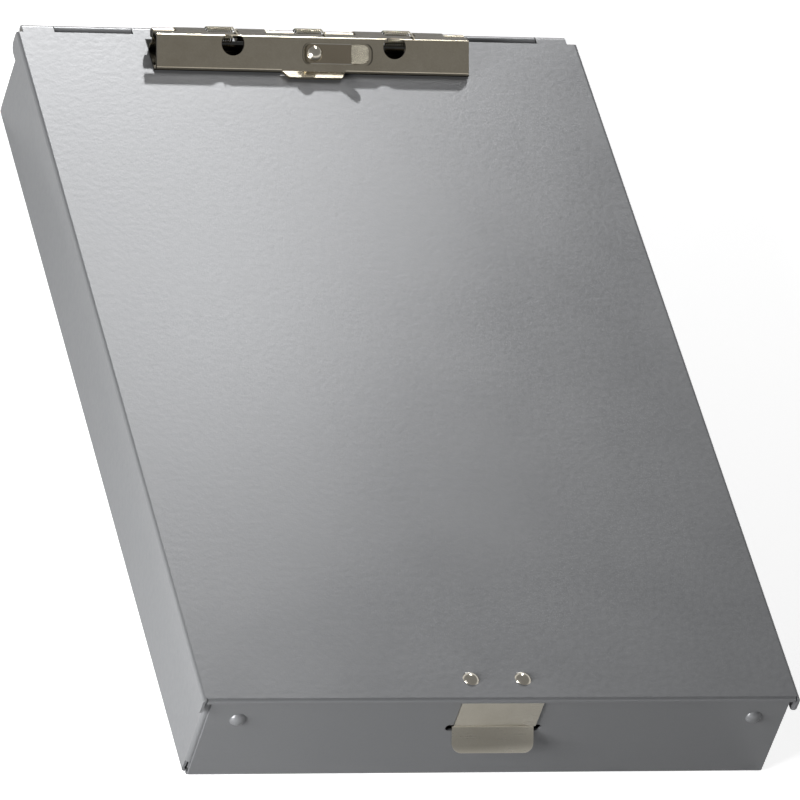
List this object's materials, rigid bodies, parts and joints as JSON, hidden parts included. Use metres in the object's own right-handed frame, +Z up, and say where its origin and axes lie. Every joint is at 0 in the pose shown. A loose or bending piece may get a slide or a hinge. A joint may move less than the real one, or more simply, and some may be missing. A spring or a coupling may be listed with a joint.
{
  "type": "storage clipboard",
  "caption": "Shallow sheet-metal tray under a hinged writing-board lid, with a sprung paper clip and swivelling hook at the hinge end and a snap latch at the front.",
  "frame": {"origin": "middle of the tray's flat underside, which is also the middle of its front and back walls", "axes": "+X to the right seen from the latch, +Y from the latch to the hinge, +Z up out of the board"},
  "size_m": [0.2304, 0.3533, 0.0549],
  "materials": {
    "painted_steel": "satin grey paint with a fine pebbled texture",
    "plated_steel": "satin nickel plating",
    "rod_steel": "drawn, plain",
    "spring_steel": "smooth, plated",
    "bright_rivet": "bright, burnished"
  },
  "bodies": {
    "box": {"box_tray": "painted_steel", "hinge_rod": "rod_steel", "front_rivet_left": "painted_steel", "front_rivet_right": "painted_steel", "back_rivet_left": "painted_steel", "back_rivet_right": "painted_steel"},
    "lid": {"lid_panel": "painted_steel", "clip_base": "plated_steel", "clip_rod": "rod_steel", "clip_spring_left": "spring_steel", "clip_spring_middle": "spring_steel", "clip_spring_right": "spring_steel", "clip_rivet_left": "bright_rivet", "clip_rivet_middle": "bright_rivet", "clip_rivet_right": "bright_rivet", "latch_rivet_left": "bright_rivet", "latch_rivet_right": "bright_rivet"},
    "jaw": {"clip_jaw": "plated_steel", "hook_rivet": "bright_rivet"},
    "hook": {"hang_hook": "plated_steel"},
    "latch": {"latch_spring": "spring_steel"}
  },
  "joints": [
    {"name": "lid_hinge", "type": "hinge", "parent": "box", "child": "lid", "pos_m": [0, 0.17298, 0.04077], "axis": [-1, 0, 0], "range_deg": [0, 150]},
    {"name": "jaw_hinge", "type": "hinge", "parent": "lid", "child": "jaw", "pos_m": [0.0005, 0.16478, 0.0492], "axis": [-1, 0, 0], "range_deg": [0, 40], "stiffness_Nm_per_rad": 0.08, "springref_deg": -114.59, "deforming": ["clip_spring_left", "clip_spring_middle", "clip_spring_right"]},
    {"name": "hook_swivel", "type": "hinge", "parent": "jaw", "child": "hook", "pos_m": [0.0005, 0.15484, 0.0496], "axis": [0, -0.682, 0.7313], "range_deg": [0, 90]},
    {"name": "latch_flex", "type": "hinge", "parent": "lid", "child": "latch", "pos_m": [0.0002, -0.17225, 0.0413], "axis": [-1, 0, 0], "range_deg": [0, 12], "stiffness_Nm_per_rad": 0.4, "springref_deg": -5.73, "deforming": ["latch_spring"]}
  ]
}
